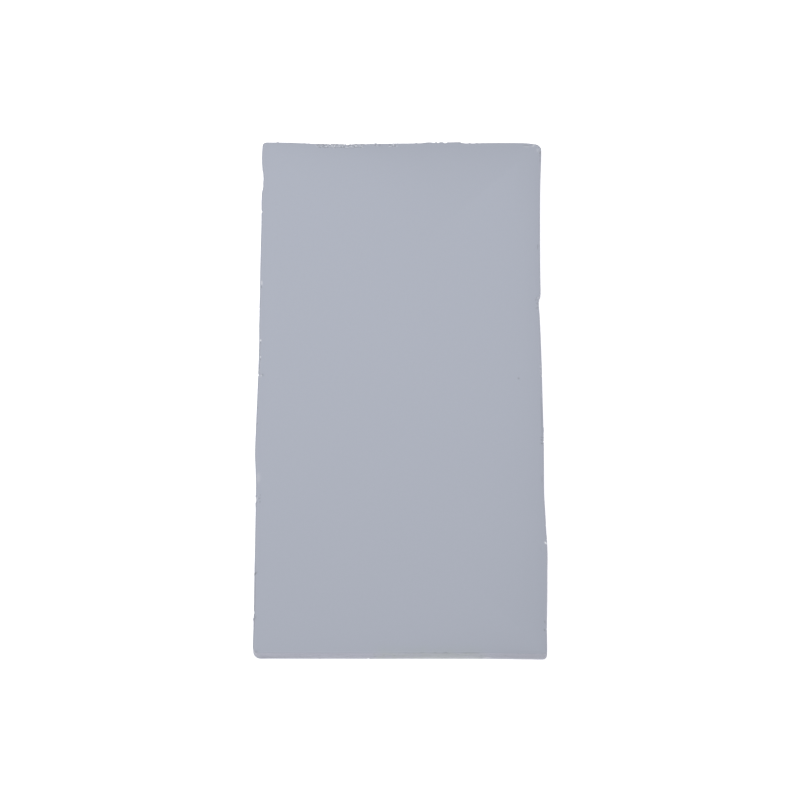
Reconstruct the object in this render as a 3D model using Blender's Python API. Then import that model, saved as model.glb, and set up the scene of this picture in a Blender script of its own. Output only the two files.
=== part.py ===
"""A thermal pad sheet: one slab of soft, ceramic-filled silicone, cut by hand and lying flat.

The sheet is a single solid in metres, with +Z up. Its origin is on the underside, at the
middle of the rectangle that the cuts aim at. +Y runs along the sheet to its far short edge.
"""

import math

import bmesh
import bpy

# The rectangle that the blade follows, and the stock that it cuts.
LENGTH = 0.080
WIDTH = 0.040
THICKNESS = 0.002

# The corners, named as seen with the near short edge towards the viewer.
NEAR_LEFT_RADIUS = 0.00105
NEAR_RIGHT_RADIUS = 0.00065
FAR_RIGHT_RADIUS = 0.00105
FAR_LEFT_RADIUS = 0.0006
CORNER_STEPS = 5

# The section at a cut. The blade rolls the upper edge over, and the surface beside it sinks
# a little. Against the cutting board, the lower edge stays almost sharp.
UPPER_EDGE_RADIUS = 0.0002
LOWER_EDGE_RADIUS = 0.0001
EDGE_SINK = 0.00008
EDGE_SINK_WIDTH = 0.003
UPPER_EDGE_STEPS = 3
LOWER_EDGE_STEPS = 2
EDGE_SINK_STEPS = 3

# How each cut strays from the true rectangle. A point is (place along the side, stray),
# with the place from -0.5 to 0.5 of the side, towards +X or +Y. The stray is a share of
# CUT_WANDER, outward where it is positive. The right cut has a step where the blade was
# set down a second time, and the left cut has a bulge and a dent. The near cut also leans: its
# foot stands out further than its upper edge.
CUT_WANDER = 0.0004
NEAR_LEAN = 0.0001
RIGHT_CUT = [
    (-0.50, -0.20), (-0.45, -0.11), (-0.39, 0.26), (-0.35, 0.44), (-0.32, 0.58), (-0.29, 0.50),
    (-0.275, 0.33), (-0.25, 0.19), (-0.20, -0.14), (-0.10, 0.05), (0.00, -0.08), (0.05, -0.13),
    (0.10, -0.30), (0.15, -0.55), (0.166, -0.75), (0.179, -0.70), (0.187, -0.42), (0.194, -0.05),
    (0.205, -0.02), (0.25, 0.02), (0.33, 0.23), (0.40, 0.54), (0.45, 0.96), (0.50, 1.42),
]
LEFT_CUT = [
    (-0.50, 0.02), (-0.42, -0.12), (-0.37, -0.06), (-0.30, -0.06), (-0.19, 0.00), (-0.155, 0.26),
    (-0.125, 0.55), (-0.06, 0.36), (0.01, 0.08), (0.095, -0.12), (0.13, 0.02), (0.20, -0.04),
    (0.235, 0.00), (0.29, -0.04), (0.35, -0.09), (0.385, -0.02), (0.398, -0.06), (0.408, -0.44),
    (0.418, -0.45), (0.428, -0.53), (0.438, -0.38), (0.449, -0.26), (0.456, 0.06), (0.475, 0.20),
    (0.50, 0.00),
]
FAR_CUT = [
    (-0.50, 0.50), (-0.44, 0.46), (-0.40, 0.40), (-0.36, 0.18), (-0.30, -0.08), (-0.24, -0.13),
    (-0.175, -0.24), (-0.14, -0.06), (-0.115, -0.17), (-0.09, -0.10), (0.00, 0.05), (0.08, 0.18),
    (0.11, 0.42), (0.15, 0.50), (0.18, 0.46), (0.217, 0.52), (0.232, 0.18), (0.265, 0.10),
    (0.33, 0.28), (0.43, 0.26), (0.46, 0.15), (0.475, 0.02), (0.50, -0.48),
]
NEAR_CUT = [
    (-0.50, 0.29), (-0.44, 0.26), (-0.35, 0.31), (-0.25, 0.31), (-0.15, 0.33), (0.00, 0.33),
    (0.10, 0.31), (0.20, 0.34), (0.27, 0.35), (0.32, 0.36), (0.42, 0.51), (0.50, 0.66),
]
CUT_STEPS = 3

# The look of the silicone: a matt, slightly blue grey.
SILICONE_COLOUR = (0.42, 0.45, 0.51, 1.0)
SILICONE_ROUGHNESS = 0.62


def clear_scene():
    for thing in list(bpy.data.objects):
        bpy.data.objects.remove(thing, do_unlink=True)


def slope_at(cut, index):
    """Slope of a cut's smooth line at one of its points."""
    before = cut[max(index - 1, 0)]
    after = cut[min(index + 1, len(cut) - 1)]
    return (after[1] - before[1]) / (after[0] - before[0])


def stray_at(cut, place):
    """How far a cut lies outside the true rectangle at a place along its side, in metres."""
    index = 0
    while index < len(cut) - 2 and cut[index + 1][0] < place:
        index += 1
    (start, low), (end, high) = cut[index], cut[index + 1]
    span = end - start
    t = (place - start) / span
    share = (
        low * (1 + 2 * t) * (1 - t) ** 2
        + high * (3 - 2 * t) * t**2
        + slope_at(cut, index) * span * t * (1 - t) ** 2
        - slope_at(cut, index + 1) * span * t**2 * (1 - t)
    )
    return share * CUT_WANDER


def places_between(cut, low, high):
    """Places on a cut, CUT_STEPS to each stretch between its points, inside low and high."""
    places = []
    for (start, _), (end, _) in zip(cut, cut[1:]):
        places += [start + (end - start) * step / CUT_STEPS for step in range(CUT_STEPS)]
    return [place for place in places if low < place < high]


def corner(x_cut, y_cut, x_sign, y_sign, radius):
    """One rounded corner, counter-clockwise, where the cuts across X and across Y meet."""
    x_stray = stray_at(x_cut, y_sign * (0.5 - radius / LENGTH))
    y_stray = stray_at(y_cut, x_sign * (0.5 - (radius - x_stray) / WIDTH))
    centre_x = x_sign * (WIDTH / 2 + x_stray - radius)
    centre_y = y_sign * (LENGTH / 2 + y_stray - radius)
    first = math.atan2(y_sign, x_sign) - math.pi / 4
    turns = [first + math.pi / 2 * step / CORNER_STEPS for step in range(CORNER_STEPS + 1)]
    return [
        (centre_x + radius * math.cos(turn), centre_y + radius * math.sin(turn))
        for turn in turns
    ]


def long_side(cut, x_sign, near_radius, far_radius):
    """Points of a cut across X between its corners, from the near end to the far end."""
    near = near_radius / LENGTH - 0.5
    far = 0.5 - far_radius / LENGTH
    return [
        (x_sign * (WIDTH / 2 + stray_at(cut, place)), place * LENGTH)
        for place in places_between(cut, near, far)
    ]


def short_side(cut, y_sign, left_radius, right_radius):
    """Points of a cut across Y between its corners, from the left end to the right end."""
    left = left_radius / WIDTH - 0.5
    right = 0.5 - right_radius / WIDTH
    return [
        (place * WIDTH, y_sign * (LENGTH / 2 + stray_at(cut, place)))
        for place in places_between(cut, left, right)
    ]


def outline():
    """The cut edge seen from above, counter-clockwise from the near right corner."""
    right = long_side(RIGHT_CUT, 1, NEAR_RIGHT_RADIUS, FAR_RIGHT_RADIUS)
    far = short_side(FAR_CUT, 1, FAR_LEFT_RADIUS, FAR_RIGHT_RADIUS)
    left = long_side(LEFT_CUT, -1, NEAR_LEFT_RADIUS, FAR_LEFT_RADIUS)
    near = short_side(NEAR_CUT, -1, NEAR_LEFT_RADIUS, NEAR_RIGHT_RADIUS)
    return (
        corner(RIGHT_CUT, NEAR_CUT, 1, -1, NEAR_RIGHT_RADIUS)
        + right
        + corner(RIGHT_CUT, FAR_CUT, 1, 1, FAR_RIGHT_RADIUS)
        + far[::-1]
        + corner(LEFT_CUT, FAR_CUT, -1, 1, FAR_LEFT_RADIUS)
        + left[::-1]
        + corner(LEFT_CUT, NEAR_CUT, -1, -1, NEAR_LEFT_RADIUS)
        + near
    )


def section():
    """The rim's section from the underside to the top, as (inset, height) pairs."""
    rim_height = THICKNESS - EDGE_SINK
    rows = []
    for step in range(LOWER_EDGE_STEPS + 1):
        turn = math.pi / 2 * step / LOWER_EDGE_STEPS
        inset = LOWER_EDGE_RADIUS * (1 - math.sin(turn))
        rows.append((inset, LOWER_EDGE_RADIUS * (1 - math.cos(turn))))
    for step in range(UPPER_EDGE_STEPS + 1):
        turn = math.pi / 2 * step / UPPER_EDGE_STEPS
        inset = UPPER_EDGE_RADIUS * (1 - math.cos(turn))
        rows.append((inset, rim_height - UPPER_EDGE_RADIUS * (1 - math.sin(turn))))
    for step in range(1, EDGE_SINK_STEPS + 1):
        share = step / EDGE_SINK_STEPS
        inset = UPPER_EDGE_RADIUS + (EDGE_SINK_WIDTH - UPPER_EDGE_RADIUS) * share
        rows.append((inset, THICKNESS - EDGE_SINK * (1 - share) ** 2))
    return rows


def ring(mesh, points, inset, height):
    """The outline as a ring of vertices, drawn in from every side and set at a height."""
    across = 1 - inset / (WIDTH / 2)
    far_part = 1 - inset / (LENGTH / 2)
    near_part = far_part - NEAR_LEAN / (LENGTH / 2) * height / THICKNESS
    return [
        mesh.verts.new((x * across, y * (near_part if y < 0 else far_part), height))
        for x, y in points
    ]


def build_sheet(points, rows):
    """The closed skin: a ring for each row of the section, and a flat face at each end."""
    mesh = bmesh.new()
    rings = [ring(mesh, points, inset, height) for inset, height in rows]
    for lower, upper in zip(rings, rings[1:]):
        for i in range(len(points)):
            mesh.faces.new((lower[i - 1], lower[i], upper[i], upper[i - 1]))
    mesh.faces.new(rings[0][::-1])
    mesh.faces.new(rings[-1])
    data = bpy.data.meshes.new("pad_sheet")
    mesh.to_mesh(data)
    mesh.free()
    return data


def silicone():
    material = bpy.data.materials.new("silicone")
    material.use_nodes = True
    shader = material.node_tree.nodes["Principled BSDF"]
    shader.inputs["Base Color"].default_value = SILICONE_COLOUR
    shader.inputs["Roughness"].default_value = SILICONE_ROUGHNESS
    shader.inputs["Metallic"].default_value = 0.0
    return material


def main():
    clear_scene()
    data = build_sheet(outline(), section())
    data.materials.append(silicone())
    data.shade_smooth()
    data.set_sharp_from_angle(angle=math.radians(40))
    sheet = bpy.data.objects.new("pad_sheet", data)
    bpy.context.scene.collection.objects.link(sheet)


main()
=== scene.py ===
"""Looks of the thermal pad sheet: a slab of soft grey silicone, cut by hand, on a white table.

The solid's own outline is read from the frame. A fine skin is built over it, with the blade's
streaks on the cut faces, torn and ragged stretches on the rim, and a slightly uneven top.
"""

import math

import bpy
import numpy as np
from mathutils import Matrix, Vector, geometry, noise


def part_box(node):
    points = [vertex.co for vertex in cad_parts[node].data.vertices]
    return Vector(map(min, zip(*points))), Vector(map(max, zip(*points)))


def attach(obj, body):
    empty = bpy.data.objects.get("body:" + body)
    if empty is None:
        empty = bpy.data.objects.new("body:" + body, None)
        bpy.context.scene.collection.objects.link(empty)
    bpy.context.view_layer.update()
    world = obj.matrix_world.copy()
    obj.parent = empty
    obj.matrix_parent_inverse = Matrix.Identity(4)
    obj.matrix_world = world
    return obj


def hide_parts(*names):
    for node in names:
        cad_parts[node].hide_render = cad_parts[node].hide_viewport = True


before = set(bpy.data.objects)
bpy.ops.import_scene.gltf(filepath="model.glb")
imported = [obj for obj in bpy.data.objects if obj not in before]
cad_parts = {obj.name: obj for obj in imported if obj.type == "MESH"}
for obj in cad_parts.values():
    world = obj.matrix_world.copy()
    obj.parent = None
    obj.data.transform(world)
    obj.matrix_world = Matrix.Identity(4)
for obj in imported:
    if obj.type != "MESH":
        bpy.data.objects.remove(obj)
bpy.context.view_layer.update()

MM = 0.001
NODE = "pad_sheet"
LOW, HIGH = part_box(NODE)
THICKNESS = HIGH.z - LOW.z
HALF_WIDTH = (HIGH.x - LOW.x) / 2
HALF_LENGTH = (HIGH.y - LOW.y) / 2

# The camera, fitted to the outline in the photograph. It looks along +Y and down.
CAMERA_ELEVATION = math.radians(63.53)
CAMERA_DISTANCE = 0.5071
CAMERA_TARGET = Vector((-0.032 * MM, -0.78 * MM, 0.0))
CAMERA_LENS = 162.06
CAMERA_SENSOR = 36.0

# The white table and the light.
TABLE_SIZE = 3.0
TABLE_GAP = 0.02 * MM
TABLE_COLOUR = (0.92, 0.92, 0.92, 1.0)
TABLE_ROUGHNESS = 0.9
TABLE_GLOW = 0.50
WHITE = (1.0, 1.0, 1.0, 1.0)
SKY_STRENGTH = 0.74
KEY_PLACE = Vector((-24 * MM, 44 * MM, 150 * MM))
KEY_SIZE = 0.10
KEY_POWER = 0.073
FILL_PLACE = Vector((0.0, -0.60, 0.30))
FILL_SIZE = 0.50
FILL_POWER = 0.25

# The mesh: points along the cut, steps round its lower edge and its rim, and the spacing of the
# grids that fill the top and the underside.
STATIONS = 3072
LOWER_STEPS = 2
RIM_STEPS = 4
TOP_GRID = 0.5 * MM
UNDER_GRID = 1.6 * MM

# The section at the cut. The rim is rolled over, but it is crisp on the near cut. Rows under the
# sheet are insets, and rows on the top are shares of the width that sinks, each with its stride
# from station to station. Rows up the cut face are shares of its height.
LOWER_RADIUS = 0.1 * MM
RIM_RADIUS = 0.22 * MM
CRISP_RIM_RADIUS = 0.015 * MM
CREASED_RIM_RADIUS = 0.08 * MM
SINK = 0.08 * MM
SINK_WIDTH = 3.0 * MM
UNDER_ROWS = ((2.8 * MM, 8), (1.6 * MM, 4), (0.7 * MM, 2))
WALL_ROWS = (0.14, 0.28, 0.42, 0.56, 0.70, 0.83, 0.95)
SINK_ROWS = (
    (0.012, 1), (0.05, 1), (0.09, 1), (0.135, 1), (0.19, 1), (0.26, 1),
    (0.37, 2), (0.50, 2), (0.64, 4), (0.82, 4), (1.0, 4),
)

# The fine relief, made of noise, with heights in millimetres. A wave has a layer, a size and a
# height. A layer is a place in the noise, so that no two patterns line up, and a streak is drawn
# out along the cut.
WAVES = ((0.0, 15 * MM, 0.012), (0.1, 4 * MM, 0.004), (0.2, 1.2 * MM, 0.0012))
WAVE_FADE = 1.5 * MM
TEAR_SIZE = 0.45 * MM
FINE_TEAR_SIZE = 0.2 * MM
FINE_TEAR_SHARE = 0.6
STREAK_SIZE = 0.2 * MM
STREAK_STRETCH = 12
STREAK_LAYER = 0.3
STREAK_HEIGHT = 0.008
GRAIN_SIZE = 0.3 * MM
GRAIN_HEIGHT = 0.004


# Outline

# The foot and the brim of the cut face, as shares of the thickness. Their points are rounded to
# a thousandth of a millimetre, so that those above each other count once.
FOOT_BAND = (0.03, 0.5)
BRIM_BAND = (0.5, 0.95)
DIGITS = 6


def cad_outline(band):
    """The solid's cut edge from above, counter-clockwise, between two shares of its thickness."""
    low, high = [THICKNESS * share for share in band]
    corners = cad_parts[NODE].data.vertices
    places = [v.co for v in corners if low < v.co.z < high]
    wall = {(round(place.x, DIGITS), round(place.y, DIGITS)) for place in places}
    return np.array(sorted(wall, key=lambda p: math.atan2(p[1], p[0])))


def smooth_loop(points, count):
    """Points at even steps along a smooth closed curve through the given ones."""
    ahead = np.roll(points, -1, axis=0)
    behind = np.roll(points, 1, axis=0)
    chord = np.linalg.norm(ahead - points, axis=1)
    slope = (ahead - behind) / (chord + np.roll(chord, 1))[:, None]
    start = np.concatenate([[0.0], np.cumsum(chord)])
    along = np.arange(count) * start[-1] / count
    index = np.searchsorted(start, along, side="right") - 1
    span = chord[index][:, None]
    t = (along - start[index])[:, None] / span
    return (
        points[index] * (1 + 2 * t) * (1 - t) ** 2
        + ahead[index] * (3 - 2 * t) * t**2
        + slope[index] * span * t * (1 - t) ** 2
        - np.roll(slope, -1, axis=0)[index] * span * t**2 * (1 - t)
    )


def outward(points):
    """Unit normals of a counter-clockwise loop, pointing out of it."""
    along = np.roll(points, -1, axis=0) - np.roll(points, 1, axis=0)
    normal = np.column_stack([along[:, 1], -along[:, 0]])
    return normal / np.linalg.norm(normal, axis=1)[:, None]


# Damage along the cut

# Places along the cut are given by side, in millimetres: X on the near and far cuts, and Y on
# the left and right ones. A station belongs to a side as far as its normal points that way: not
# at all below the first number of FACING, and fully above the second.
SIDES = {"right": (1, 0), "far": (0, 1), "left": (-1, 0), "near": (0, -1)}
FACING = (0.3, 0.6)

# A ragged stretch: side, its two ends, and how uneven the rim is there in millimetres. It fades
# out over RAGGED_BLEND past its ends, and over RAGGED_REACH away from the rim.
RAGGED = [
    ("far", -18.0, -15.5, 0.012), ("far", -12.4, -0.6, 0.050), ("far", 3.3, 11.4, 0.012),
    ("left", 1.5, 17.5, 0.008), ("left", 31.0, 35.5, 0.010),
    ("right", -9.0, 4.5, 0.010), ("right", 12.5, 15.0, 0.012), ("right", 37.0, 39.8, 0.010),
]
RAGGED_BLEND = 0.5
RAGGED_REACH = 0.55 * MM
PLAIN_RAG = 0.004 * MM

# A torn stretch, broken into fine pale and dark crumbs: side, its two ends, how far it reaches
# in from the rim in millimetres, and how strong it is. It ends between two shares of that reach,
# and it is weaker down the cut face.
TORN = [
    ("far", -12.4, -5.6, 0.75, 1.0), ("far", -5.6, -4.2, 0.25, 0.5),
    ("far", -3.9, -2.7, 0.50, 0.7), ("far", -1.7, -0.5, 0.65, 0.9),
    ("far", 18.6, 20.2, 0.25, 0.4), ("right", 38.0, 39.8, 0.30, 0.5),
    ("right", 12.6, 14.6, 0.30, 0.4), ("right", 1.9, 3.8, 0.22, 0.5),
    ("left", 1.8, 5.4, 0.20, 0.4),
]
TORN_BLEND = 0.25
TORN_ENDS = (0.75, 1.15)
TORN_FADE_DOWN = 0.4

# Nicks that run down the whole cut face, slanting towards the far end: side, place at the top,
# half length along the cut, and depth in millimetres. Where the depth is negative, the
# silicone stands out instead.
NICK_SLANT = 0.5
NICKS = [
    ("left", 29.40, 1.90, -0.020), ("left", 28.51, 0.17, 0.145),
    ("left", 12.71, 0.13, 0.025), ("left", 11.40, 0.90, 0.025), ("left", 2.13, 0.15, 0.090),
    ("left", -17.50, 0.90, -0.045), ("left", -17.30, 0.33, 0.100),
    ("left", -34.20, 0.25, 0.070), ("left", -35.70, 0.70, -0.020),
    ("right", 14.96, 0.42, -0.030), ("right", 14.15, 0.22, 0.035),
    ("right", 1.95, 0.15, 0.040), ("right", -7.41, 0.09, 0.030),
    ("right", -7.88, 0.09, 0.030), ("right", -8.27, 0.15, 0.060),
    ("right", -21.15, 0.16, 0.025), ("right", -23.35, 0.16, 0.030),
    ("right", -36.64, 0.15, 0.025),
]

# Single marks on each side: place, inset from the rim, half length along the cut, half width
# across it, tone (-1 dark, 1 pale) and rise in millimetres. A negative inset lies down the cut
# face.
MARKS = {
    "far": [
        (-17.86, -0.12, 0.13, 0.14, 0.0, 0.09), (-17.60, -0.08, 1.80, 0.10, -0.35, 0.0),
        (-16.00, 0.00, 0.32, 0.10, -0.5, 0.0), (-15.60, 0.00, 0.22, 0.08, 0.25, 0.0),
        (-13.94, -0.15, 0.12, 0.20, -0.2, 0.03), (-13.36, -0.15, 0.12, 0.20, -0.2, 0.02),
        (-11.87, 0.20, 0.09, 0.42, -0.55, 0.0), (-11.52, -0.06, 0.18, 0.15, 0.40, 0.0),
        (-11.28, 0.15, 0.09, 0.40, -0.55, 0.0), (-10.60, -0.05, 0.55, 0.14, 0.30, 0.0),
        (-9.42, -0.05, 0.13, 0.14, 0.50, 0.0), (-9.56, 0.33, 0.11, 0.08, 0.45, 0.0),
        (-8.80, 0.05, 0.35, 0.10, 0.18, 0.0), (-8.33, 0.15, 0.12, 0.30, -0.35, 0.0),
        (-8.02, -0.06, 0.30, 0.14, 0.30, 0.0), (-6.10, 0.00, 0.20, 0.14, 0.30, 0.0),
        (-10.25, -0.30, 0.18, 0.50, 0.0, -0.09), (-7.61, -0.30, 0.22, 0.50, 0.0, -0.14),
        (-6.54, -0.15, 0.12, 0.20, 0.0, 0.05), (-5.15, -0.30, 0.20, 0.50, 0.0, -0.06),
        (-3.62, -0.15, 0.22, 0.20, -0.2, 0.09),
        (-1.00, -0.10, 0.12, 0.20, 0.0, 0.05), (2.36, -0.15, 0.13, 0.20, 0.0, 0.08),
        (3.90, -0.10, 0.65, 0.15, -0.5, 0.055), (4.90, -0.30, 0.15, 0.50, 0.0, -0.06),
        (5.22, -0.10, 0.12, 0.15, -0.4, 0.06), (5.50, -0.30, 0.15, 0.50, 0.0, -0.08),
        (6.03, -0.10, 0.30, 0.15, -0.4, 0.035), (6.52, -0.30, 0.20, 0.50, 0.0, -0.12),
        (7.90, -0.08, 1.10, 0.12, -0.5, 0.035), (8.75, 0.02, 0.11, 0.14, -0.7, 0.0),
        (10.15, -0.15, 0.12, 0.14, -0.2, 0.08), (11.10, -0.15, 0.20, 0.14, 0.1, 0.06),
        (12.10, -0.12, 0.22, 0.12, 0.2, 0.03), (15.20, -0.08, 3.00, 0.10, -0.35, 0.0),
        (18.40, 0.59, 0.45, 0.07, 0.3, 0.0), (18.40, 0.40, 0.50, 0.07, -0.4, 0.0),
        (19.42, 0.28, 0.12, 0.09, 0.45, 0.0), (19.25, 0.45, 0.30, 0.06, 0.20, 0.0),
    ],
    "right": [
        (38.85, 0.45, 0.28, 0.07, 0.3, 0.0), (38.45, 0.10, 0.20, 0.09, -0.8, 0.0),
        (37.60, 0.00, 0.80, 0.08, -0.3, 0.0), (37.10, 0.08, 0.22, 0.07, -0.4, 0.0),
        (22.81, 0.27, 0.40, 0.06, -0.5, 0.0), (14.55, 0.28, 0.14, 0.08, -0.4, 0.0),
        (14.52, 0.10, 0.12, 0.07, 0.4, 0.0), (14.20, 0.38, 0.16, 0.09, -0.4, 0.0),
        (13.65, 0.16, 0.20, 0.08, -0.2, 0.0),
        (12.85, 0.34, 0.14, 0.07, -0.3, 0.0), (3.50, 0.04, 0.13, 0.08, 0.4, 0.0),
        (1.95, 0.06, 0.13, 0.10, 0.15, 0.0), (-1.00, 0.04, 0.20, 0.08, 0.25, 0.0),
        (-4.50, 0.16, 3.50, 0.10, -0.25, 0.0), (-6.30, -0.20, 0.40, 0.50, 0.0, 0.05),
        (-7.60, 0.20, 0.08, 0.14, -0.6, 0.0), (-8.02, 0.20, 0.09, 0.14, -0.7, 0.0),
        (-8.50, 0.20, 0.10, 0.14, -0.7, 0.0), (-14.14, 0.23, 0.50, 0.06, -0.4, 0.0),
        (-23.80, 0.13, 0.16, 0.18, 1.0, 0.0), (-23.60, 0.33, 0.14, 0.07, -0.3, 0.0),
        (-23.41, 0.77, 0.18, 0.06, -0.4, 0.0), (-24.77, 0.82, 0.28, 0.06, -0.4, 0.0),
        (-31.00, 0.00, 6.50, 0.07, 0.12, 0.0), (-35.63, 0.22, 0.18, 0.08, -0.6, 0.0),
        (-36.78, 0.24, 0.13, 0.08, -0.9, 0.0),
    ],
    "near": [
        # The first mark, a long faint pale line just over the near rim, is painted light that
        # evens out the dark line the crisp rim casts.
        (0.00, 0.06, 19.5, 0.10, 0.035, 0.0), (-10.30, -0.22, 9.30, 0.16, -0.05, 0.0),
        (15.80, -0.38, 4.20, 0.22, -0.06, 0.0), (0.80, -0.06, 0.30, 0.07, -0.15, 0.0),
        (2.95, -0.06, 0.30, 0.07, -0.30, 0.0), (4.78, -0.06, 0.20, 0.07, -0.30, 0.0),
        (6.15, -0.06, 0.32, 0.08, -0.45, 0.0), (9.45, -0.06, 1.35, 0.07, -0.35, 0.0),
        (-8.60, -1.76, 8.60, 0.26, 0.24, 0.0), (5.30, -1.72, 5.90, 0.32, 0.23, 0.0),
        (10.00, -1.80, 1.20, 0.30, 0.10, 0.0), (11.85, -1.62, 0.60, 0.34, 0.25, 0.0),
        (12.10, -1.82, 0.28, 0.10, -0.4, 0.0), (16.50, -0.95, 4.60, 1.00, -0.18, 0.0),
        (16.20, -1.74, 4.20, 0.22, 0.28, 0.0), (19.75, -1.20, 0.35, 1.00, 0.0, 0.07),
        (-3.90, -1.86, 0.20, 0.10, -0.8, 0.0), (-4.40, -1.86, 0.10, 0.12, 0.9, -0.04),
        (-10.90, -1.87, 0.16, 0.12, -0.6, 0.0), (-11.00, -1.62, 8.00, 0.12, -0.06, 0.0),
        (-17.90, -1.36, 1.60, 0.16, -0.24, 0.0),
    ],
    "left": [
        (-39.92, -0.20, 0.11, 0.40, -0.1, 0.13), (-35.05, -0.10, 0.17, 0.30, 0.0, 0.09),
        (-34.90, 0.21, 0.25, 0.09, -0.3, 0.0), (-33.00, 0.00, 4.50, 0.09, -0.4, 0.0),
        (-28.42, -0.10, 0.17, 0.32, -1.0, 0.025), (-17.60, 0.09, 0.12, 0.09, -0.4, 0.05),
        (-17.50, 0.51, 0.14, 0.07, -0.5, 0.0), (-16.98, 0.46, 0.09, 0.12, -0.6, 0.0),
        (-16.98, 0.06, 0.22, 0.08, 0.6, -0.05), (-16.80, 0.23, 0.15, 0.07, -0.25, 0.0),
        (-16.60, 0.37, 0.08, 0.08, 0.3, 0.0), (-16.55, 0.51, 0.09, 0.08, -0.5, 0.0),
        (-16.50, -0.10, 0.12, 0.25, 0.0, 0.05), (-13.85, 0.28, 0.75, 0.30, 0.14, 0.0),
        (-5.40, 0.08, 0.16, 0.08, -0.5, 0.0), (-2.90, 0.06, 0.16, 0.08, -0.5, 0.0),
        (2.13, 0.05, 0.13, 0.12, 0.3, 0.0), (2.25, 0.32, 0.10, 0.06, -0.3, 0.0),
        (2.13, 0.46, 0.14, 0.08, 0.7, 0.0), (2.20, 0.60, 0.20, 0.08, -1.0, 0.0),
        (3.20, 0.02, 0.80, 0.08, -0.4, 0.0), (5.08, 0.16, 0.14, 0.10, 0.5, 0.0),
        (4.66, 0.14, 0.14, 0.09, -0.55, 0.0), (6.60, 0.04, 0.80, 0.06, -0.3, 0.0),
        (7.30, 0.16, 0.12, 0.08, -0.45, 0.0), (7.74, 0.10, 0.14, 0.14, 0.85, -0.08),
        (16.95, 0.18, 0.32, 0.12, 0.45, 0.0), (16.30, 0.13, 0.20, 0.09, -0.5, 0.0),
    ],
}

# Painted shade: the top's colour is made darker towards the cuts, standing in for the shading
# there, by an amount that changes along them, and not at all on the left: side, place, share of
# RIM_SHADE, and how far it reaches in, in millimetres. A share over 1 keeps the full shade for a
# little way in.
PAINTED_EDGE_SHADES = [
    ("right", -36.0, 0.90, 5.0), ("right", -22.0, 0.67, 3.2), ("right", 0.0, 0.67, 2.2),
    ("right", 30.0, 0.85, 2.0), ("far", 17.0, 1.15, 5.0), ("far", 4.0, 1.2, 5.0),
    ("far", -5.0, 1.25, 2.6), ("far", -11.0, 0.95, 2.4), ("far", -18.0, 0.55, 2.2),
    ("left", 36.0, 0.0, 2.0), ("left", -36.0, 0.0, 2.0), ("near", -17.0, 0.12, 2.0),
    ("near", 0.0, 0.28, 2.5), ("near", 6.0, 0.55, 2.2), ("near", 16.0, 0.75, 4.0),
]

# The near cut is crisp, but for the part with a soft, broken crease. Round that part the
# silicone is smudged in patches, down the whole cut face and a little way over the top.
CRISP = ("near", -21.0, 21.0)
CREASED = ("near", 0.0, 11.2)
CREASE_BLEND = 0.5
SMUDGED = ("near", -2.2, 10.2)
SMUDGE_BLEND = 2.2
SMUDGE_ON_TOP = 0.5
SMUDGE_REACH = 0.9 * MM
SMUDGE_GRAIN = 0.9 * MM
MOTTLE_LEVEL = 0.85
MOTTLE_SPREAD = 0.8

# Small pits in the top: place, radius and depth in millimetres. The mesh has extra points round
# each, on rings that are given as shares of its radius.
PITS = [((-17.66, 28.55), 0.16, 0.02), ((16.66, 1.62), 0.14, 0.015)]
PIT_TONE = 0.45
PIT_RINGS = (0.4, 0.8, 1.2, 1.8)
PIT_SPOKES = 10


def smoothstep(low, high, value):
    """0 below the low value, 1 above the high one, and a smooth rise between them."""
    share = np.clip((value - low) / (high - low), 0.0, 1.0)
    return share * share * (3 - 2 * share)


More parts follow.
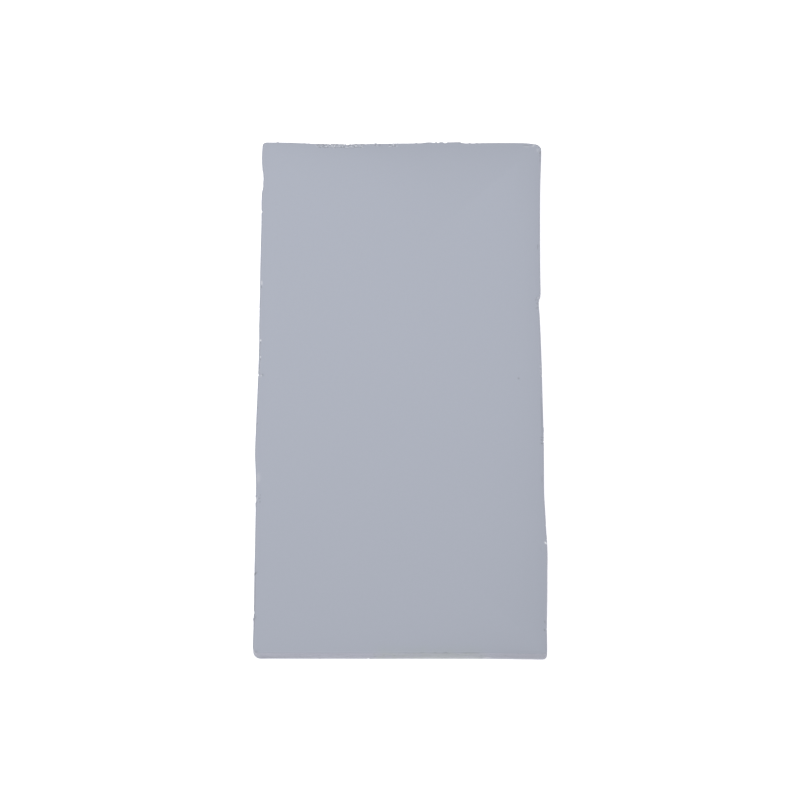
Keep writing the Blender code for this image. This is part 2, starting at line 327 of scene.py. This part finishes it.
class Cut:
    """The cut edge: its points, normals, what the blade did at each, and the painted shade beside
    it.
    """

    def __init__(self):
        foot = cad_outline(FOOT_BAND)
        brim = cad_outline(BRIM_BAND)
        self.lean = brim[:, 1].min() - foot[:, 1].min()
        self.points = smooth_loop(foot, STATIONS)
        self.normals = outward(self.points)
        steps = np.linalg.norm(np.roll(self.points, -1, axis=0) - self.points, axis=1)
        self.along = np.concatenate([[0.0], np.cumsum(steps)[:-1]])
        self.length = steps.sum()
        self.rag = np.full(STATIONS, PLAIN_RAG)
        for side, first, last, depth in RAGGED:
            self.rag += depth * MM * self.stretch(side, first, last, RAGGED_BLEND)
        self.crease = self.stretch(*CREASED, CREASE_BLEND)
        self.crisp = self.stretch(*CRISP, CREASE_BLEND) * (1 - self.crease)
        self.smudge = self.stretch(*SMUDGED, SMUDGE_BLEND)
        self.tint, self.tint_reach = self.tinting()

    def places(self, side):
        """Where each station lies along a side, in millimetres, and how far it faces that way."""
        axis = 1 if SIDES[side][0] else 0
        facing = smoothstep(*FACING, self.normals @ np.array(SIDES[side]))
        return self.points[:, axis] / MM, facing

    def distance(self, side, place, inset=0.0):
        """Distance of every station, along the cut, from the one that serves a place."""
        along, facing = self.places(side)
        half = (HALF_LENGTH if SIDES[side][0] else HALF_WIDTH) / MM
        drawn_in = along * (1 - max(0.0, inset) / half)
        miss = np.where(facing < 0.5, np.inf, np.abs(drawn_in - place))
        station = int(np.argmin(miss))
        gap = np.abs(self.along - self.along[station])
        return np.minimum(gap, self.length - gap)

    def stretch(self, side, first, last, fade):
        """1 between two places on a side, fading to 0 past them."""
        along, facing = self.places(side)
        rise = smoothstep(first - fade, first, along)
        fall = 1 - smoothstep(last, last + fade, along)
        return rise * fall * facing

    def nicks(self, height):
        """How far one row of the cut face is cut in by the nicks."""
        slant = NICK_SLANT * (THICKNESS - height) / MM
        depths = np.zeros(STATIONS)
        for side, place, length, depth in NICKS:
            along, facing = self.places(side)
            gap = (along - place - slant) / length
            depths += depth * MM * facing * np.exp(-(gap**4))
        return depths

    def tinting(self):
        """How much painted shade darkens the top by the cut, and how far it reaches in, along the
        cut.
        """
        along = [self.along[np.argmin(self.distance(side, place))] for side, place, _, _ in PAINTED_EDGE_SHADES]
        shares = [share for _, _, share, _ in PAINTED_EDGE_SHADES]
        reaches = [reach * MM for _, _, _, reach in PAINTED_EDGE_SHADES]
        return (
            np.interp(self.along, along, shares, period=self.length),
            np.interp(self.along, along, reaches, period=self.length),
        )

    def tint_at(self, x, y):
        """How much painted shade darkens the top at a place away from the cut."""
        gap = np.hypot(self.points[:, 0] - x, self.points[:, 1] - y)
        nearest = int(np.argmin(gap))
        return self.tint[nearest] * math.exp(-gap[nearest] / self.tint_reach[nearest])


# Skin

# The fill of a ring, in millimetres: the triangulation keeps what is inside the ring and merges
# points nearer than a gap. Its grid stays clear of the ring by a share of its spacing, and its
# size is measured in a band over the middle.
INSIDE_ONLY = 1
MERGE_GAP = 1e-5
GRID_MARGIN = 0.6
MIDDLE_BAND = 1.0
TRIANGLE_HEIGHT = math.sqrt(0.75)


def section(cut):
    """Rows from the underside to the top: inset, height, turn of the normal and stride."""
    radius = RIM_RADIUS + (CRISP_RIM_RADIUS - RIM_RADIUS) * cut.crisp
    radius += (CREASED_RIM_RADIUS - RIM_RADIUS) * cut.crease
    level = np.ones(STATIONS)
    rows = []
    for inset, stride in UNDER_ROWS:
        rows.append((inset * level, 0 * level, -math.pi / 2, stride))
    for step in range(LOWER_STEPS + 1):
        turn = math.pi / 2 * (step / LOWER_STEPS - 1)
        inset = LOWER_RADIUS * (1 - math.cos(turn))
        rows.append((inset * level, LOWER_RADIUS * (1 + math.sin(turn)) * level, turn, 1))
    top_of_wall = THICKNESS - SINK - radius
    for share in WALL_ROWS:
        rows.append((0 * level, LOWER_RADIUS + (top_of_wall - LOWER_RADIUS) * share, 0.0, 1))
    for step in range(RIM_STEPS + 1):
        turn = math.pi / 2 * step / RIM_STEPS
        inset = radius * (1 - math.cos(turn))
        rows.append((inset, top_of_wall + radius * math.sin(turn), turn, 1))
    for share, stride in SINK_ROWS:
        inset = radius + (SINK_WIDTH - radius) * share
        height = THICKNESS - SINK * (1 - share) ** 2
        rows.append((inset, height * level, math.pi / 2, stride))
    return rows


def fine(point, size):
    """Noise at a point, from about -1 to 1, whose features have the given size."""
    return noise.noise(Vector(point) / size)


def wave(x, y):
    """The gentle unevenness of the top."""
    rise = 0.0
    for layer, size, height in WAVES:
        rise += height * fine((x, y, layer), size)
    return rise * MM


# What is painted at each point of the skin, for the material to read. The rim paint is painted
# shade on the top by the cuts.
PAINTS = ("pale", "dark", "torn", "rim", "face", "smudge")


class Skin:
    """The mesh as it grows: its points, its faces and what is painted at each point."""

    def __init__(self, cut):
        self.cut = cut
        self.points = []
        self.faces = []
        self.painted = {name: [] for name in PAINTS}

    def add(self, point, **paint):
        """Adds a point with its paint, and returns its number."""
        self.points.append(point)
        for name, values in self.painted.items():
            values.append(paint.get(name, 0.0))
        return len(self.points) - 1

    def marks(self, unfolded):
        """Tone and rise that the single marks give one row."""
        tone = np.zeros(STATIONS)
        rise = np.zeros(STATIONS)
        for side, marks in MARKS.items():
            for place, inset, length, width, mark_tone, mark_rise in marks:
                along = self.cut.distance(side, place, inset) / (length * MM)
                across = (unfolded / MM - inset) / width
                mark = np.exp(-(along**4) - across**2)
                tone += mark_tone * mark
                rise += mark_rise * MM * mark
        return np.clip(tone, -1.0, 1.0), rise

    def torn(self, unfolded):
        """How torn one row is: 1 where the silicone has crumbled."""
        torn = np.zeros(STATIONS)
        for side, first, last, reach, strength in TORN:
            start, end = [share * reach * MM for share in TORN_ENDS]
            inward = 1 - smoothstep(start, end, np.abs(unfolded))
            torn += strength * inward * self.cut.stretch(side, first, last, TORN_BLEND)
        return np.clip(torn, 0.0, 1.0)

    def ring(self, inset, height, turn, stride):
        """Adds one row of the section round the whole sheet, and returns its points."""
        cut = self.cut
        near_share = np.maximum(0.0, -cut.points[:, 1] / HALF_LENGTH)
        x = cut.points[:, 0] * (1 - inset / HALF_WIDTH)
        upright_y = cut.points[:, 1] * (1 - inset / HALF_LENGTH)
        y = upright_y + cut.lean * near_share * height / THICKNESS
        # The way from the rim along the section: in over the top, or negative down the cut face.
        unfolded = inset - (THICKNESS - height)
        from_rim = np.abs(unfolded)
        tone, marked = self.marks(unfolded)
        torn = self.torn(unfolded)
        nicked = cut.nicks(height)
        near_rim = np.exp(-((from_rim / RAGGED_REACH) ** 2))
        cut_face = math.cos(turn)
        upward = math.sin(turn)
        added = []
        for i in range(0, STATIONS, stride):
            base = Vector((x[i], y[i], height[i]))
            tear = fine(base, TEAR_SIZE) + FINE_TEAR_SHARE * fine(base, FINE_TEAR_SIZE)
            rough = cut.rag[i] * tear * near_rim[i]
            streak = fine((cut.along[i] / STREAK_STRETCH, height[i], STREAK_LAYER), STREAK_SIZE)
            grain = fine(base, GRAIN_SIZE)
            rise = marked[i] + rough * max(cut_face, near_rim[i])
            rise += cut_face * (STREAK_HEIGHT * streak + GRAIN_HEIGHT * grain) * MM
            rise -= cut_face * nicked[i]
            normal_x, normal_y = cut.normals[i]
            away = Vector((normal_x * cut_face, normal_y * cut_face, upward))
            point = base + away * rise
            if turn > 0:
                wave_share = float(smoothstep(0, WAVE_FADE, inset[i]))
                point.z += wave(x[i], y[i]) * upward * wave_share
            if turn <= -math.pi / 2:
                point = base
            over_top = SMUDGE_ON_TOP * math.exp(-((inset[i] / SMUDGE_REACH) ** 2))
            mottle = MOTTLE_LEVEL + MOTTLE_SPREAD * fine(base, SMUDGE_GRAIN)
            added.append(self.add(
                point,
                pale=max(0.0, tone[i]),
                dark=max(0.0, -tone[i]),
                torn=torn[i] * (1 - TORN_FADE_DOWN * cut_face),
                # rim: painted shade on the top by the cut, none on the cut face
                rim=cut.tint[i] * math.exp(-from_rim[i] / cut.tint_reach[i]) * (1 - cut_face),
                face=cut_face,
                smudge=cut.smudge[i] * mottle * (cut_face + (1 - cut_face) * over_top),
            ))
        return added

    def stitch(self, lower, upper):
        """Faces between two rings, where one may have twice as many points as the other."""
        count = min(len(lower), len(upper))
        low_step = len(lower) // count
        up_step = len(upper) // count
        for i in range(count):
            low = [lower[(i * low_step + k) % len(lower)] for k in range(low_step + 1)]
            up = [upper[(i * up_step + k) % len(upper)] for k in range(up_step + 1)]
            if low_step == up_step:
                self.faces.append((low[0], low[1], up[1], up[0]))
            elif low_step == 2:
                self.faces.append((low[0], low[1], up[0]))
                self.faces.append((low[1], low[2], up[1], up[0]))
            else:
                self.faces.append((low[0], low[1], up[1], up[0]))
                self.faces.append((low[1], up[2], up[1]))

    def fill(self, ring, spacing, point_at, extra=(), upward=True):
        """Closes a ring with even triangles, whose inner points are added by a function."""
        rim = [Vector(self.points[i][:2]) / MM for i in ring]
        inner = grid_inside(rim, spacing / MM) + list(extra)
        edges = [(i, (i + 1) % len(rim)) for i in range(len(rim))]
        made = geometry.delaunay_2d_cdt(rim + inner, edges, [], INSIDE_ONLY, MERGE_GAP)
        points, triangles, sources = made[0], made[2], made[3]
        index = []
        for point, source in zip(points, sources):
            on_ring = [i for i in source if i < len(rim)]
            if on_ring:
                index.append(ring[on_ring[0]])
            else:
                index.append(point_at(self, *(point * MM)))
        for triangle in triangles:
            face = [index[i] for i in triangle]
            a, b, c = [Vector(self.points[i]) for i in face]
            if ((b - a).cross(c - a).z > 0) != upward:
                face.reverse()
            self.faces.append(tuple(face))


def grid_inside(rim, spacing):
    """Points of an even triangular grid, well inside a ring round the middle, in millimetres."""
    margin = GRID_MARGIN * spacing
    width = min(abs(p.x) for p in rim if abs(p.y) < MIDDLE_BAND) - margin
    length = min(abs(p.y) for p in rim if abs(p.x) < MIDDLE_BAND) - margin
    rows = int(2 * length / (spacing * TRIANGLE_HEIGHT))
    columns = int(2 * width / spacing)
    points = []
    for row in range(rows + 1):
        y = length * (2 * row / rows - 1)
        shift = 0.5 * (row % 2)
        for column in range(columns + 1 - row % 2):
            points.append(Vector((width * (2 * (column + shift) / columns - 1), y)))
    return points


def pit_points():
    """Extra points round each pit, so that the mesh can hold its shape."""
    points = []
    for place, radius, _ in PITS:
        middle = Vector(place)
        points.append(middle)
        for ring in PIT_RINGS:
            for spoke in range(PIT_SPOKES):
                turn = math.tau * spoke / PIT_SPOKES
                points.append(middle + radius * ring * Vector((math.cos(turn), math.sin(turn))))
    return points


def top_point(skin, x, y):
    """Adds a point of the top, away from the cut."""
    dip = 0.0
    dark = 0.0
    for place, radius, depth in PITS:
        gap = (Vector((x, y)) / MM - Vector(place)).length / radius
        dip += depth * MM * math.exp(-gap * gap)
        dark += PIT_TONE * math.exp(-gap * gap)
    place = Vector((x, y, THICKNESS + wave(x, y) - dip))
    # The rim paint here is painted shade that reaches in from the cut.
    return skin.add(place, dark=dark, rim=skin.cut.tint_at(x, y))


def under_point(skin, x, y):
    """Adds a point of the underside."""
    return skin.add(Vector((x, y, 0.0)))


def build_skin():
    """The whole sheet as one closed mesh."""
    cut = Cut()
    skin = Skin(cut)
    rings = [skin.ring(*row) for row in section(cut)]
    for lower, upper in zip(rings, rings[1:]):
        skin.stitch(lower, upper)
    skin.fill(rings[0], UNDER_GRID, under_point, upward=False)
    skin.fill(rings[-1], TOP_GRID, top_point, extra=pit_points())
    mesh = bpy.data.meshes.new("silicone_sheet")
    mesh.from_pydata([tuple(p) for p in skin.points], [], skin.faces)
    for name, values in skin.painted.items():
        mesh.attributes.new(name, "FLOAT", "POINT").data.foreach_set("value", values)
    mesh.shade_smooth()
    mesh.validate()
    piece = bpy.data.objects.new("silicone_sheet", mesh)
    bpy.context.scene.collection.objects.link(piece)
    return piece


# Materials

# The silicone's colours and its finish. The smudge and the shades are factors on a colour.
# RIM_SHADE is painted shade by the cuts. The cut faces are painted darker than the top, as
# painted shade that offsets the light the glowing table throws on them.
SILICONE = (0.3965, 0.4215, 0.4910, 1.0)
RIM_SHADE = 0.93
SHADED_CUT_FACE = (0.353, 0.362, 0.425, 1.0)
SMUDGE = (0.977, 1.003, 0.920, 1.0)
PALE = (0.85, 0.86, 0.88, 1.0)
DARK = (0.17, 0.18, 0.20, 1.0)
CLOUD_SHADES = (0.985, 1.015)
POWDER_SHADE = 0.85
STREAK_SHADES = (0.95, 1.05)
SILICONE_IOR = 1.41

# Its patterns of noise: scale per metre, detail and, where it isn't 0.5, roughness. Streaks are
# drawn out along the cut.
CLOUDS = (90.0, 3.0)
POWDER = (2600.0, 2.0)
CRUMBS = (4600.0, 2.0, 0.6)
STREAKS = (5200.0, 3.0, 0.6)
ALONG_THE_CUT = (0.07, 0.07, 1.0)
PORES = (3400.0, 1.0)
GRAIN = (5200.0, 3.0, 0.6)

# What a pattern gives: from and to in its own value, and the share or the value at each.
POWDER_SHARE = (0.35, 0.65, 0.0, 0.05)
STREAK_SHARE = (0.35, 0.65, 0.0, 1.0)
PORE_SHARE = (0.64, 0.74, 0.0, 0.35)
PALE_CRUMB_SHARE = (0.55, 0.63, 0.0, 0.52)
DARK_CRUMB_SHARE = (0.48, 0.38, 0.0, 0.72)
CLOUD_ROUGHNESS = (0.3, 0.7, 0.58, 0.66)

# The relief that only the light shows.
GRAIN_BUMP = 0.006 * MM
GRAIN_BUMP_STRENGTH = 0.35
STREAK_BUMP = 0.02 * MM

# The colour sockets of a mix node, by number, as its other sockets have the same names.
MIX_SHARE = 0
MIX_FIRST = 6
MIX_SECOND = 7
MIX_RESULT = 2


def add_node(tree, kind, inputs=None, **settings):
    """Adds a shader node. An input's value is a socket to link, or a plain value to set."""
    node = tree.nodes.new(kind)
    for name, value in settings.items():
        setattr(node, name, value)
    for name, value in (inputs or {}).items():
        if isinstance(value, bpy.types.NodeSocket):
            tree.links.new(value, node.inputs[name])
        else:
            node.inputs[name].default_value = value
    return node


def noise_value(tree, place, scale, detail, roughness=0.5):
    """The value of a noise pattern at a place."""
    inputs = {"Vector": place, "Scale": scale, "Detail": detail, "Roughness": roughness}
    return add_node(tree, "ShaderNodeTexNoise", inputs).outputs["Fac"]


def blend(tree, share, first, second, kind="MIX"):
    """Mixes two colours, each a socket or a plain value, by a share."""
    mix = add_node(tree, "ShaderNodeMix", data_type="RGBA", blend_type=kind)
    for socket, value in ((MIX_SHARE, share), (MIX_FIRST, first), (MIX_SECOND, second)):
        if isinstance(value, bpy.types.NodeSocket):
            tree.links.new(value, mix.inputs[socket])
        else:
            mix.inputs[socket].default_value = value
    return mix.outputs[MIX_RESULT]


def spread(tree, value, low, high, low_out, high_out):
    """Maps a value from one range to another, and holds it there."""
    inputs = {
        "Value": value, "From Min": low, "From Max": high, "To Min": low_out, "To Max": high_out,
    }
    return add_node(tree, "ShaderNodeMapRange", inputs).outputs["Result"]


def times(tree, first, second):
    """The product of two sockets."""
    node = add_node(tree, "ShaderNodeMath", operation="MULTIPLY")
    tree.links.new(first, node.inputs[0])
    tree.links.new(second, node.inputs[1])
    return node.outputs["Value"]


def shade(colour, factor):
    """A colour made darker or lighter."""
    return tuple(part * factor for part in colour[:3]) + (1.0,)


def silicone_material():
    """Matt grey silicone: cloudy with fine ceramic powder, broken into crumbs where it is torn."""
    material = bpy.data.materials.new("silicone")
    material.use_nodes = True
    tree = material.node_tree
    shader = tree.nodes["Principled BSDF"]
    place = add_node(tree, "ShaderNodeTexCoord").outputs["Object"]
    paint = {
        name: add_node(tree, "ShaderNodeAttribute", attribute_name=name).outputs["Fac"]
        for name in PAINTS
    }

    clouds = noise_value(tree, place, *CLOUDS)
    powder = noise_value(tree, place, *POWDER)
    crumbs = noise_value(tree, place, *CRUMBS)
    drawn = add_node(tree, "ShaderNodeMapping", {"Vector": place, "Scale": ALONG_THE_CUT})
    streaks = noise_value(tree, drawn.outputs["Vector"], *STREAKS)
    pores = noise_value(tree, place, *PORES)
    colour = blend(tree, clouds, *[shade(SILICONE, factor) for factor in CLOUD_SHADES])
    powdered = shade(SILICONE, POWDER_SHADE)
    colour = blend(tree, spread(tree, powder, *POWDER_SHARE), colour, powdered)
    # Painted shade on the top by the cuts.
    colour = blend(tree, paint["rim"], colour, shade(SILICONE, RIM_SHADE))
    # The cut faces take their own colour, painted darker than the top as painted shade, with the
    # blade's streaks and pores.
    face_shades = [shade(SHADED_CUT_FACE, factor) for factor in STREAK_SHADES]
    streaked = blend(tree, spread(tree, streaks, *STREAK_SHARE), *face_shades)
    pored = blend(tree, spread(tree, pores, *PORE_SHARE), streaked, DARK)
    colour = blend(tree, paint["face"], colour, pored)
    colour = blend(tree, paint["smudge"], colour, SMUDGE, "MULTIPLY")
    pale_crumbs = times(tree, paint["torn"], spread(tree, crumbs, *PALE_CRUMB_SHARE))
    dark_crumbs = times(tree, paint["torn"], spread(tree, crumbs, *DARK_CRUMB_SHARE))
    colour = blend(tree, dark_crumbs, colour, DARK)
    colour = blend(tree, pale_crumbs, colour, PALE)
    colour = blend(tree, paint["dark"], colour, DARK)
    colour = blend(tree, paint["pale"], colour, PALE)
    tree.links.new(colour, shader.inputs["Base Color"])

    tree.links.new(spread(tree, clouds, *CLOUD_ROUGHNESS), shader.inputs["Roughness"])
    shader.inputs["IOR"].default_value = SILICONE_IOR

    grain = noise_value(tree, place, *GRAIN)
    grain_inputs = {"Height": grain, "Strength": GRAIN_BUMP_STRENGTH, "Distance": GRAIN_BUMP}
    grain_bump = add_node(tree, "ShaderNodeBump", grain_inputs)
    streak_inputs = {
        "Height": streaks,
        "Strength": paint["face"],
        "Distance": STREAK_BUMP,
        "Normal": grain_bump.outputs["Normal"],
    }
    streak_bump = add_node(tree, "ShaderNodeBump", streak_inputs)
    tree.links.new(streak_bump.outputs["Normal"], shader.inputs["Normal"])
    return material


def table_material():
    """A matt white table, bright enough to look overexposed."""
    material = bpy.data.materials.new("white_table")
    material.use_nodes = True
    shader = material.node_tree.nodes["Principled BSDF"]
    shader.inputs["Base Color"].default_value = TABLE_COLOUR
    shader.inputs["Roughness"].default_value = TABLE_ROUGHNESS
    shader.inputs["Emission Color"].default_value = WHITE
    shader.inputs["Emission Strength"].default_value = TABLE_GLOW
    return material


# Setting


def build_table():
    """One large square, just under the sheet."""
    mesh = bpy.data.meshes.new("table")
    half = TABLE_SIZE / 2
    level = LOW.z - TABLE_GAP
    signs = ((-1, -1), (1, -1), (1, 1), (-1, 1))
    corners = [(x * half, y * half, level) for x, y in signs]
    mesh.from_pydata(corners, [], [(0, 1, 2, 3)])
    mesh.materials.append(table_material())
    table = bpy.data.objects.new("table", mesh)
    bpy.context.scene.collection.objects.link(table)


def add_lamp(name, place, size, power):
    """A round soft lamp that faces the sheet."""
    data = bpy.data.lights.new(name, "AREA")
    data.shape = "DISK"
    data.size = size
    data.energy = power
    lamp = bpy.data.objects.new(name, data)
    lamp.location = place
    lamp.rotation_euler = place.to_track_quat("Z", "Y").to_euler()
    lamp.visible_camera = False
    bpy.context.scene.collection.objects.link(lamp)


def build_light():
    """A white sky, a lamp over the sheet's far left, and a weaker light from the near side."""
    world = bpy.data.worlds.new("studio")
    world.use_nodes = True
    sky = world.node_tree.nodes["Background"]
    sky.inputs["Color"].default_value = WHITE
    sky.inputs["Strength"].default_value = SKY_STRENGTH
    bpy.context.scene.world = world
    add_lamp("key", KEY_PLACE, KEY_SIZE, KEY_POWER)
    add_lamp("fill", FILL_PLACE, FILL_SIZE, FILL_POWER)


def build_camera():
    """The photograph's view."""
    data = bpy.data.cameras.new("camera")
    data.lens = CAMERA_LENS
    data.sensor_width = CAMERA_SENSOR
    camera = bpy.data.objects.new("camera", data)
    back = Vector((0.0, -math.cos(CAMERA_ELEVATION), math.sin(CAMERA_ELEVATION)))
    camera.location = CAMERA_TARGET + CAMERA_DISTANCE * back
    camera.rotation_euler = (math.pi / 2 - CAMERA_ELEVATION, 0.0, 0.0)
    bpy.context.scene.collection.objects.link(camera)
    bpy.context.scene.camera = camera


def main():
    build_camera()
    build_table()
    build_light()
    bpy.context.scene.view_settings.view_transform = "Standard"
    sheet = build_skin()
    sheet.data.materials.append(silicone_material())
    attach(sheet, "root")
    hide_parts(NODE)


main()
